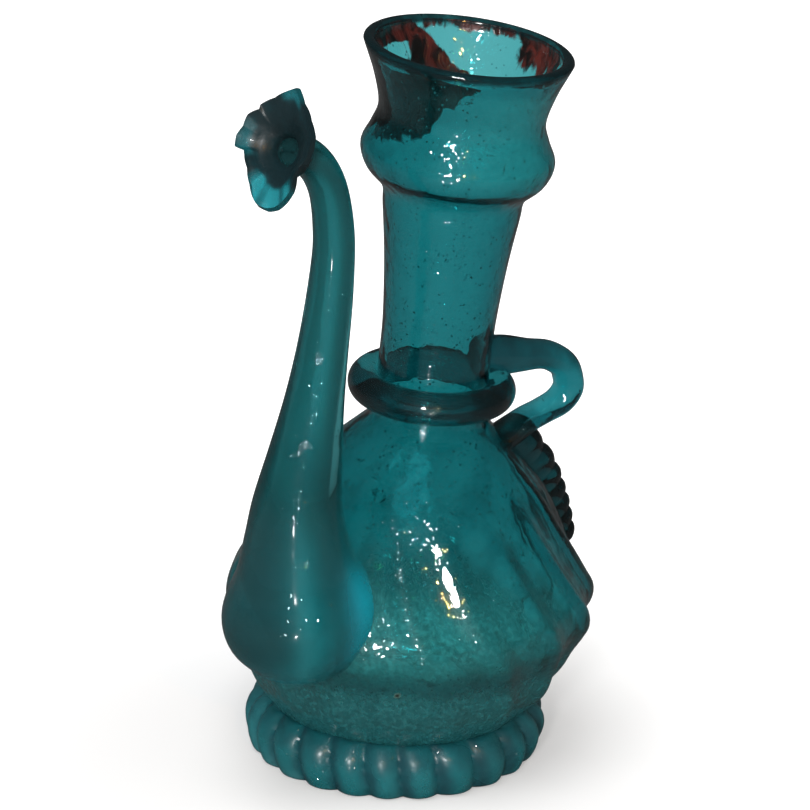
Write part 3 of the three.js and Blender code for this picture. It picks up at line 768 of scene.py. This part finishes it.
class EWER_OT_vessel(bpy.types.Operator):
    """Blow the ribbed bulb with its neck and mouth"""

    bl_idname = "ewer.vessel"
    bl_label = "Vessel"

    def execute(self, context):
        sizes = context.scene.ewer_vessel
        outside = vessel_outline(190)
        wall = mix(sizes.wall / MM, NECK_WALL, ease(outside[:, 1], 100, 130))
        inside = grown(outside, -wall)
        inside[0][0] = 0
        bead = [
            (
                RIM_RADIUS - BEAD + BEAD * math.cos(angle),
                RIM_HEIGHT - BEAD + 0.78 * BEAD * math.sin(angle),
            )
            for angle in np.linspace(0, math.pi, 10)[1:]
        ]
        profile = [*outside, *bead, *inside[::-1][2:]]
        vessel = turned("vessel", profile, 256)
        points = points_of(vessel)
        radius, angle = round_axis(points)
        share = (points[:, 2] - BULB_BASE) / BULB_HEIGHT
        strength = between(share, 0.03, 0.2, 0.55, 0.96)
        swirl = sizes.rib_swirl * share
        crest = np.cos(sizes.ribs * (angle - swirl))
        crest = 2 * ((1 + crest) / 2) ** 1.6 - 1.05
        facing = (1 + np.cos(angle - RIB_SIDE)) / 2
        depth = sizes.rib_depth / MM * mix(0.2, 1, facing ** 1.5) * strength
        flank = outside[KICK_STEPS:]
        inner = radius < np.interp(points[:, 2], flank[:, 1], flank[:, 0]) - 1.2
        raised = radius + np.where(inner, 0.55, 1.0) * depth * crest - 0.43 * strength
        keep = radius > 1e-3
        points[keep, :2] *= (raised[keep] / radius[keep])[:, None]
        set_points(vessel, points)
        mark_inside(vessel, points[:, 2], angle, inner)
        mark_outside(vessel, points[:, 2], angle, inner)
        finish_piece(vessel, "vessel", vessel_material())
        return {"FINISHED"}


def mark_inside(vessel, height, angle, inner):
    """Marks the streaks in the vessel's mouth and the residue low in its bulb."""
    degrees = np.degrees(angle)
    lining = inner & (height < RIM_HEIGHT - 0.5 * BEAD)
    edge = np.interp(height, *zip(*STREAK_EDGE))
    left = between(degrees, edge - 6, edge + 8, 146, 168)
    patch_foot = 203 + 15 * ease(degrees, 85, 165)
    left *= ease(height, patch_foot, patch_foot + 9)
    left *= 1 - 0.8 * between(degrees, 72, 84, 106, 118) * between(height, 232, 236, 240.5, 243)
    right = between(degrees, -48, -34, -8, 12) * ease(height, 230, 243)
    rim = between(degrees, -52, -36, 146, 168) * ease(height, 242.5, 246)
    area = np.maximum.reduce([left, 0.85 * right, 0.52 * rim])
    mark(vessel, "streaks", np.where(lining, area, 0))
    mark(vessel, "residue", np.where(lining, 1 - ease(height, 30, 60), 0))


def mark_outside(vessel, height, angle, inner):
    """Marks the painted shade on the lip, the haze on the bulb with painted light toward its front,
    and painted light on the neck under the lip.
    """
    # Painted shade: a dark band round the lip, fullest toward DARK_LIP_SIDE.
    lip = ease(height, RIM_HEIGHT - 5, RIM_HEIGHT - 2.4)
    lip *= mix(0.72, 1, ease(np.cos(angle - DARK_LIP_SIDE), -0.2, 0.9))
    mark(vessel, "lip", np.where(inner & (height < RIM_HEIGHT - BEAD), 0, lip))
    # Painted light: the haze is thicker and brighter toward the bulb's front, and a bright band is
    # painted on the neck under the lip, on one side.
    painted_light = ((1 + np.cos(angle - PAINTED_LIGHT_SIDE)) / 2) ** 3 * between(height, 44, 54, 66, 98)
    haze_and_painted_light = 0.5 * (1 - ease(height, 36, 50)) + 0.1 * (1 - ease(height, 60, 84)) + 0.04
    painted_neck_light = np.maximum(np.cos(angle - PAINTED_NECK_LIGHT_SIDE), 0) ** 1.5
    painted_neck_light *= between(height, 200, 214, 238, 245) * ~inner
    on_bulb = ~inner & (height < BULB_TOP - 1.5)
    mark(vessel, "haze_and_painted_light", np.where(on_bulb, haze_and_painted_light + 0.1 * painted_light, 0.16 * painted_neck_light))
    mark(vessel, "painted_light", np.where(on_bulb, painted_light, painted_neck_light))


class EWER_OT_neck_ring(bpy.types.Operator):
    """Wind the thick ring round the foot of the neck"""

    bl_idname = "ewer.neck_ring"
    bl_label = "Neck Ring"

    def execute(self, context):
        half_width = (RING_OUTER - RING_INNER) / 2
        middle = RING_INNER + half_width
        section = [
            (middle + half_width * math.cos(a), RING_HEIGHT + RING_HALF_HEIGHT * math.sin(a))
            for a in np.linspace(0, TURN, 41)
        ]
        ring = turned("neck_ring", section, 160)
        points = points_of(ring)
        radius, angle = round_axis(points)
        crease = 0.9 * hump(np.degrees(angle), -20, 7)
        pressed = radius - crease * ease(radius, RING_INNER, RING_OUTER)
        points[:, :2] *= (pressed / radius)[:, None]
        set_points(ring, points)
        material = glass_material(
            "wound teal glass", share=0.34, tint=(0.8, 0.95, 0.96), dullness=0.04, waviness=0.3,
            murk=(0.014, 0.05, 0.058), cloud=0.16, sparkle=0.5,
        )
        finish_piece(ring, "neck_ring", material)
        return {"FINISHED"}


class EWER_OT_foot(bpy.types.Operator):
    """Lay the thick thread under the bulb and pincer it into lobes"""

    bl_idname = "ewer.foot"
    bl_label = "Foot"

    def execute(self, context):
        sizes = context.scene.ewer_trim
        radius_out = bulb_radius(FOOT_HEIGHT) + FOOT_PROUD
        corners = scaled(FOOT_SECTION, radius_out, 0, FOOT_HEIGHT)
        section = smooth_line([*corners, corners[0]], 4)
        section[:, 1] = np.maximum(section[:, 1], 0)
        section[:, 0] = np.minimum(section[:, 0], radius_out)
        foot = turned("foot", section, sizes.lobes * 12)
        points = points_of(foot)
        radius, _ = round_axis(points)
        crease = 1 - np.abs(np.sin(lobe_phase(points, sizes.lobes))) ** 0.75
        inmost = min(share for share, _ in FOOT_SECTION)
        outward = ease(radius, inmost * radius_out, radius_out)
        pressed = radius - 1.25 * sizes.lobe_depth / MM * np.clip(crease, 0, 1) * outward
        points[:, :2] *= (pressed / radius)[:, None]
        set_points(foot, points)
        cut_to_seat(foot, 0.8)
        points = points_of(foot)
        # Painted shade beside each crease between the lobes, to one side of it; the foot is also
        # darker towards its top. Both go into the thick mark.
        dark = np.cos(lobe_phase(points, sizes.lobes) - 0.35) ** 2
        top = 0.55 * ease(points[:, 2], 6, 14)
        mark(foot, "thick", np.maximum(0.85 * dark, top))
        material = thick_and_painted_shade_material(
            "pincered teal glass", share=0.06, tint=(0.12, 0.33, 0.36),
            dark_tint=(0.05, 0.12, 0.14), cloud=0.46, murk=(0.01, 0.24, 0.27),
            dark_murk=(0.009, 0.075, 0.095), gain=0.2, dullness=0.45, sparkle=0.9,
        )
        finish_piece(foot, "foot", material)
        return {"FINISHED"}


def lobe_phase(points, lobes):
    """Returns where points lie in the foot's slanting row of lobes, half a turn a lobe."""
    _, angle = round_axis(points)
    slant = FOOT_SLANT * points[:, 2] / FOOT_HEIGHT
    uneven = 0.5 * np.sin(2 * angle + 0.7) + 0.45 * np.sin(5 * angle)
    return (lobes * (angle + slant) + uneven) / 2


class EWER_OT_pontil_scar(bpy.types.Operator):
    """Leave the rough wad of glass under the middle of the base"""

    bl_idname = "ewer.pontil_scar"
    bl_label = "Pontil Scar"

    def execute(self, context):
        top = BULB_BASE + KICK_DEPTH + 0.6
        section = [
            (0, 16.2), (2.5, 16.4), (4.6, 15.6), (6.6, 15.9), (8.1, 16.6), (8.9, 17.7),
            (9, 18.8), (8, top - 0.3), (4, top), (0, top),
        ]
        scar = turned("pontil_scar", smooth_line(section, 3), 64)
        material = glass_material(
            "broken teal glass", share=0.3, tint=(0.5, 0.7, 0.7), dullness=0.5, waviness=1.0,
            murk=(0.05, 0.16, 0.16), cloud=0.5,
        )
        finish_piece(scar, "pontil_scar", material)
        return {"FINISHED"}


class EWER_OT_spout(bpy.types.Operator):
    """Draw the spout up from its pear-shaped root"""

    bl_idname = "ewer.spout"
    bl_label = "Spout"

    def execute(self, context):
        outer = even_line(spout_line(2, SPOUT_RADIUS, SPOUT_SWELL), 100)
        bore = even_line(spout_line(3, BORE_RADIUS, BORE_SWELL), 90)
        spout = tube("spout", outer, bore, 72)
        cut_to_seat(spout, 1.0)
        points = points_of(spout)
        height = points[:, 2]
        mark(spout, "root", 1 - ease(height, 84, 116))
        # Painted glow: a brighter, bluer patch low on one side of the root.
        glow = between(height, 50, 62, 74, 96)
        mark(spout, "glow", glow * ease(-points[:, 1], 12, 19) * ease(points[:, 0], -68, -58))
        normals = vectors_of(spout.data.vertex_normals, "vector")
        round_tube = turn_round(normals, height, outer)
        # Painted highlight and shade: the light and dark bands round the spout are partly cords; a
        # dark band where the bore starts and the dark end are painted shade.
        cords_and_painted_light = np.clip(1.5 * np.interp(round_tube, *zip(*SPOUT_CORDS_AND_PAINTED_LIGHT), period=360), -1, 1)
        band = hump(height, 116, 18) * mix(0.45, 1, hump(round_tube, -100, 32))
        end = ease(-points[:, 0], 74, 84)
        mark(spout, "shade", np.maximum.reduce([-cords_and_painted_light, 0.7 * band, end]))
        mark(spout, "pale_cords_and_highlight", np.maximum(cords_and_painted_light, 0) * (1 - 0.6 * band))
        finish_piece(spout, "spout", spout_material())
        return {"FINISHED"}


def spout_line(column, radius, swell):
    """Draws the spout's path, with the radius that a column of swells gives."""
    return [
        (-SPOUT_REACH * row[0], SPOUT_FOOT + SPOUT_RISE * row[1], radius + swell * row[column])
        for row in SPOUT_PATH if row[column] is not None
    ]


def turn_round(normals, height, path):
    """Returns how far round the spout's own path a point's normal looks, in degrees."""
    steps = np.gradient(path[:, :2], axis=0)
    slope = np.interp(height, path[:, 1], np.arctan2(-steps[:, 0], steps[:, 1]))
    outward = normals[:, 0] * np.cos(slope) + normals[:, 2] * np.sin(slope)
    return np.degrees(np.arctan2(normals[:, 1], outward))


def tube(name, outer, bore, sides):
    """Makes a hollow tube from two swept skins, joined by a ring at each end."""
    skin = swept(name, outer[:, :2], outer[:, 2], outer[:, 2], sides, endless=True)
    lining = swept("lining", bore[:, :2], bore[:, 2], bore[:, 2], sides, endless=True)
    make_active(skin)
    lining.select_set(True)
    bpy.ops.object.join()
    bpy.ops.object.mode_set(mode="EDIT")
    bpy.ops.mesh.select_mode(type="EDGE")
    for end in (outer[0], outer[-1]):
        bpy.ops.mesh.select_all(action="DESELECT")
        select_open_edges(skin, end[1])
        bpy.ops.mesh.bridge_edge_loops()
    bpy.ops.mesh.select_mode(type="VERT")
    bpy.ops.object.mode_set(mode="OBJECT")
    close_up(skin)
    return skin


def select_open_edges(piece, height):
    """Selects the open edges that lie in the same half of the piece as a height does."""
    bpy.ops.object.mode_set(mode="OBJECT")
    used = np.zeros(len(piece.data.edges), int)
    index = np.empty(len(piece.data.loops), int)
    piece.data.loops.foreach_get("edge_index", index)
    np.add.at(used, index, 1)
    points = points_of(piece)
    middle = (points[:, 2].min() + points[:, 2].max()) / 2
    for edge in piece.data.edges:
        high = points[edge.vertices[0]][2] > middle
        if used[edge.index] == 1 and high == (height > middle):
            edge.select = True
    bpy.ops.object.mode_set(mode="EDIT")


class EWER_OT_spout_mouth(bpy.types.Operator):
    """Work the gather on the spout's end into its petalled mouth"""

    bl_idname = "ewer.spout_mouth"
    bl_label = "Spout Mouth"

    def execute(self, context):
        opening, rise = even_line(MOUTH_FLARE, 24).T
        height = -PETAL_DEPTH * (1 - rise)
        inner_radius = mix(BORE_RADIUS, PETAL_RADIUS - 0.9, np.maximum(opening, 0))
        outer = np.stack([mix(COLLAR_RADIUS, PETAL_RADIUS, opening), height], axis=1)
        inner = np.stack([inner_radius, height + PETAL_THICKNESS * rise], axis=1)
        profile = [*outer, *inner[::-1], outer[0]]
        mouth = turned("spout_mouth", profile, 240)
        points = points_of(mouth)
        radius, angle = round_axis(points)
        degrees = np.degrees(angle) % 360
        open_share = np.clip((radius - COLLAR_RADIUS) / (PETAL_RADIUS - COLLAR_RADIUS), 0, 1)
        spread = radius - open_share * (PETAL_RADIUS - petal_reach(degrees))
        points[:, :2] *= (spread / radius)[:, None]
        folds = hump(degrees, TONGUE_FOLDS, 34) * (0.5 + 0.5 * np.cos(11 * angle + 0.6))
        points[:, 2] -= open_share ** 1.5 * (0.5 + 0.9 * folds + 0.7 * np.cos(3 * angle) ** 2)
        set_points(mouth, points)
        # Painted shade: thin dark lines across the tongue, in its creases, taken out of its
        # thinness.
        creases = ((1 + np.cos(13 * angle + 0.9)) / 2) ** 5
        tongue_start = mix(0.06, 0.3, ease(degrees, 258, 296))
        thin_tongue = 1 - ease(np.abs(degrees - TONGUE), 26, 46)
        thin_tongue *= ease(open_share, tongue_start, tongue_start + 0.22)
        thin_side = 1 - ease(np.abs(degrees - SIDE_PETAL), 18, 36)
        thin_side *= ease(open_share, 0.12, 0.4)
        thin_tip = 1 - ease(np.abs(degrees - TIP_PETAL), 8, 20)
        thin_tip *= ease(open_share, 0.55, 0.8)
        thin = [thin_tongue * (1 - 0.55 * creases), 0.4 * thin_side, 0.5 * thin_tip]
        mark(mouth, "thick", 1 - np.maximum.reduce(thin))
        end_reach, end_rise = SPOUT_PATH[-1][:2]
        along = Vector((-math.cos(MOUTH_TILT), 0, math.sin(MOUTH_TILT)))
        across = Vector((0, -1, 0))
        middle = Vector((-SPOUT_REACH * end_reach - 8, 0, SPOUT_FOOT + SPOUT_RISE * end_rise + 2.5))
        mouth.data.transform(axes(across, along.cross(across), along, middle * MM))
        material = thick_and_painted_shade_material(
            "petal teal glass", share=0.5, tint=(0.1, 0.5, 0.56), dark_tint=(0.05, 0.13, 0.16),
            cloud=0.28, murk=(0.004, 0.17, 0.2), dark_murk=(0.006, 0.018, 0.022), gain=0.55,
        )
        finish_piece(mouth, "spout_mouth", material)
        return {"FINISHED"}


def petal_reach(degrees):
    """Returns how far the mouth's edge lies from its middle, in a direction across it."""
    directions, reaches = np.array(MOUTH_PETALS).T
    return np.interp(degrees, directions, reaches, period=360)


def axes(right, up, back, middle):
    """Returns the matrix that sets something at a point, along three directions."""
    place = Matrix.Identity(4)
    for column, direction in enumerate((right, up, back, middle)):
        for row in range(3):
            place[row][column] = direction[row]
    return place


def turn_to_handle_side(piece):
    """Turns a piece from the X axis to the handle's side."""
    piece.data.transform(Matrix.Rotation(HANDLE_SIDE, 4, "Z"))


class EWER_OT_handle(bpy.types.Operator):
    """Pull the handle from the neck, loop it and land it on the shoulder"""

    bl_idname = "ewer.handle"
    bl_label = "Handle"

    def execute(self, context):
        path = scaled(HANDLE_PATH, HANDLE_REACH, LANDING_HEIGHT, HANDLE_RISE)
        line = even_line(path, 90)
        share = np.linspace(0, 1, len(line))
        width = mix(12.5, 16, ease(share, 0.7, 1))
        thick = mix(mix(14, 10, ease(share, 0.1, 0.32)), 8, ease(share, 0.55, 0.78))
        handle = swept("handle", line, width / 2, thick / 2, 40)
        points = points_of(handle)
        run = (points[:, 2] - LANDING_HEIGHT) / HANDLE_RISE
        upper = ease(run, 0.72, 0.9) * (1 - 0.35 * ease(points[:, 0], 38, 52))
        mark(handle, "thick", np.maximum(0.75 * upper, 1 - ease(run, -0.05, 0.14)))
        turn_to_handle_side(handle)
        cut_to_seat(handle, 1.0)
        material = thick_and_painted_shade_material(
            "pulled teal glass", share=0.34, tint=(0.34, 0.67, 0.72),
            dark_tint=(0.09, 0.22, 0.26), cloud=0.06, murk=(0.012, 0.12, 0.14),
            dark_murk=(0.016, 0.028, 0.03), gain=0.25, sparkle=0.25,
        )
        finish_piece(handle, "handle", material)
        return {"FINISHED"}


class EWER_OT_handle_tail(bpy.types.Operator):
    """Lay the crimped tail down the shoulder under the handle"""

    bl_idname = "ewer.handle_tail"
    bl_label = "Handle Tail"

    def execute(self, context):
        sizes = context.scene.ewer_trim
        share = np.linspace(0, 1, 120)
        height = LANDING_HEIGHT - 2.2 - TAIL_LENGTH * share
        line = np.stack([bulb_radius(height), height], axis=1)
        crimp = np.sqrt(np.abs(np.sin(math.pi * sizes.crimps * share ** 1.3)))
        pressed = sizes.crimp_depth / MM * (1 - crimp)
        proud = mix(9.5, 2.5 + sizes.crimp_depth / MM, share ** 3) - pressed
        width = mix(TAIL_WIDTH, 0.7 * TAIL_WIDTH, share) - pressed
        tail = swept("handle_tail", line, width / 2, proud, 32)
        turn_to_handle_side(tail)
        cut_to_seat(tail, 0.8)
        material = glass_material(
            "crimped teal glass", share=0.5, tint=(0.4, 0.54, 0.56), dullness=0.04,
            waviness=0.3, murk=(0.008, 0.02, 0.022), cloud=0.45, sparkle=0.3,
        )
        finish_piece(tail, "handle_tail", material)
        return {"FINISHED"}


class EWER_OT_stage(bpy.types.Operator):
    """Set the floor, the light and the camera"""

    bl_idname = "ewer.stage"
    bl_label = "Stage"

    def execute(self, context):
        look = context.scene.ewer_stage
        back = Vector((
            math.sin(AZIMUTH) * math.cos(ELEVATION),
            -math.cos(AZIMUTH) * math.cos(ELEVATION),
            math.sin(ELEVATION),
        ))
        right = Vector((math.cos(AZIMUTH), math.sin(AZIMUTH), 0))
        up = back.cross(right)
        view = bpy.data.cameras.new("Camera")
        camera = bpy.data.objects.new("Camera", view)
        context.scene.collection.objects.link(camera)
        rolled_right = right * math.cos(ROLL) + up * math.sin(ROLL)
        rolled_up = up * math.cos(ROLL) - right * math.sin(ROLL)
        camera.matrix_world = axes(rolled_right, rolled_up, back, AIM + DISTANCE * back)
        view.sensor_width = SENSOR_WIDTH
        view.lens = SENSOR_WIDTH * LENS_PIXELS / FRAME_PIXELS
        context.scene.camera = camera

        clear_selection()
        bpy.ops.mesh.primitive_plane_add(size=8)
        floor = context.object
        floor.name = "floor"
        floor.data.materials.append(floor_material())

        overhead = Vector((-0.5, -0.1, 1.5))
        softbox = add_lamp("softbox", overhead, AIM, size=0.9, power=look.softbox)
        softbox.visible_glossy = False
        flash_place = AIM + 1.55 * back - 0.08 * up - 0.22 * right
        add_lamp("flash", flash_place, AIM, size=0.16, power=look.flash)
        level = Vector((back.x, back.y, 0)).normalized()
        steep = level * math.cos(HIGH_SPARK) + Vector((0, 0, math.sin(HIGH_SPARK)))
        high_place = AIM + 1.2 * steep - 0.1 * right
        add_lamp("high spark", high_place, AIM, size=0.035, power=look.sparks)
        low_place = Vector((AIM.x, AIM.y, 0.02)) + 0.5 * level - 0.06 * right
        low_aim = Vector((AIM.x, AIM.y, 0.06))
        add_lamp("low spark", low_place, low_aim, size=0.016, power=0.25 * look.sparks)
        lantern_place = AIM + 1.5 * back + 0.3 * right + 0.12 * up
        lantern = add_lamp("lantern", lantern_place, AIM, size=0.03, power=look.lantern)
        lantern.data.color = (1.0, 0.5, 0.1)
        light_world(context.scene)
        context.scene.view_settings.view_transform = "Standard"
        return {"FINISHED"}


def add_lamp(name, place, aim, size, power):
    """Hangs a square lamp that faces a point."""
    lamp = bpy.data.lights.new(name, "AREA")
    lamp.shape = "SQUARE"
    lamp.size = size
    lamp.energy = power
    holder = bpy.data.objects.new(name, lamp)
    bpy.context.scene.collection.objects.link(holder)
    holder.location = place
    holder.rotation_euler = (aim - place).to_track_quat("-Z", "Y").to_euler()
    return holder


def seen_directly(sheet):
    """Returns 1 for what is seen straight or through glass, and less for a reflection."""
    path = sheet.add("ShaderNodeLightPath").outputs
    seen = sheet.maths("MAXIMUM", path["Is Camera Ray"], path["Is Transmission Ray"])
    mirrored = sheet.maths("MULTIPLY", path["Is Glossy Ray"], REFLECTED_WHITE)
    return sheet.maths("MAXIMUM", seen, mirrored)


def floor_material():
    """Makes the white floor, which keeps the object's shadow and has a painted shadow round the
    object.
    """
    material, sheet = start_material("white floor")
    # Painted shadow: the floor's glow is dimmer near the object, around SHADOW_MIDDLE.
    away = sheet.vectors("DISTANCE", {0: sheet.coords, 1: SHADOW_MIDDLE})["Value"]
    white = sheet.maths("MULTIPLY_ADD", sheet.ramp(away, 0.07, 0.3), 0.65, 0.35)
    glow = sheet.maths("MULTIPLY", seen_directly(sheet), white)
    glow = sheet.add("ShaderNodeEmission", {"Strength": glow})
    mirrored = sheet.add("ShaderNodeLightPath").outputs["Is Glossy Ray"]
    paper = sheet.blend(mirrored, (0.5, 0.5, 0.5, 1), (0.05, 0.05, 0.05, 1))
    paper = sheet.add("ShaderNodeBsdfDiffuse", {"Color": paper})
    both = sheet.add("ShaderNodeAddShader", {0: glow.outputs[0], 1: paper.outputs[0]})
    sheet.add("ShaderNodeOutputMaterial", {"Surface": both.outputs[0]})
    return material


def light_world(scene):
    """Makes the white surroundings, dimmer where they only light the floor."""
    world = bpy.data.worlds.new("white surroundings")
    scene.world = world
    world.use_nodes = True
    sheet = Sheet(world.node_tree)
    path = sheet.add("ShaderNodeLightPath").outputs
    lit = sheet.maths("MULTIPLY", path["Is Diffuse Ray"], 0.5)
    strength = sheet.maths("MAXIMUM", seen_directly(sheet), lit)
    glow = sheet.add("ShaderNodeBackground", {"Color": (1, 1, 1, 1), "Strength": strength})
    sheet.add("ShaderNodeOutputWorld", {"Surface": glow.outputs[0]})


class EWER_PT_panel(bpy.types.Panel):
    """Lists the ewer's pieces and their settings."""

    bl_idname = "EWER_PT_panel"
    bl_label = "Glass Ewer"
    bl_space_type = "VIEW_3D"
    bl_region_type = "UI"
    bl_category = "Ewer"

    def draw(self, context):
        for operator in OPERATORS:
            self.layout.operator(operator.bl_idname)
        for settings in SETTINGS:
            group = getattr(context.scene, settings)
            for name in group.__annotations__:
                self.layout.prop(group, name)


SETTINGS = {
    "ewer_glass": EwerGlassSettings,
    "ewer_vessel": EwerVesselSettings,
    "ewer_trim": EwerTrimSettings,
    "ewer_stage": EwerStageSettings,
}
OPERATORS = [
    EWER_OT_vessel, EWER_OT_neck_ring, EWER_OT_foot, EWER_OT_pontil_scar, EWER_OT_spout,
    EWER_OT_spout_mouth, EWER_OT_handle, EWER_OT_handle_tail, EWER_OT_stage,
]


def register():
    """Registers the settings, the operators and the panel."""
    for kind in [*SETTINGS.values(), *OPERATORS, EWER_PT_panel]:
        bpy.utils.register_class(kind)
    for name, kind in SETTINGS.items():
        setattr(bpy.types.Scene, name, PointerProperty(type=kind))


def unregister():
    """Takes them out again."""
    for name in SETTINGS:
        delattr(bpy.types.Scene, name)
    for kind in reversed([*SETTINGS.values(), *OPERATORS, EWER_PT_panel]):
        bpy.utils.unregister_class(kind)


def main():
    """Makes every piece and the stage."""
    register()
    bpy.ops.ewer.vessel()
    bpy.ops.ewer.neck_ring()
    bpy.ops.ewer.foot()
    bpy.ops.ewer.pontil_scar()
    bpy.ops.ewer.spout()
    bpy.ops.ewer.spout_mouth()
    bpy.ops.ewer.handle()
    bpy.ops.ewer.handle_tail()
    bpy.ops.ewer.stage()


if __name__ == "__main__":
    main()
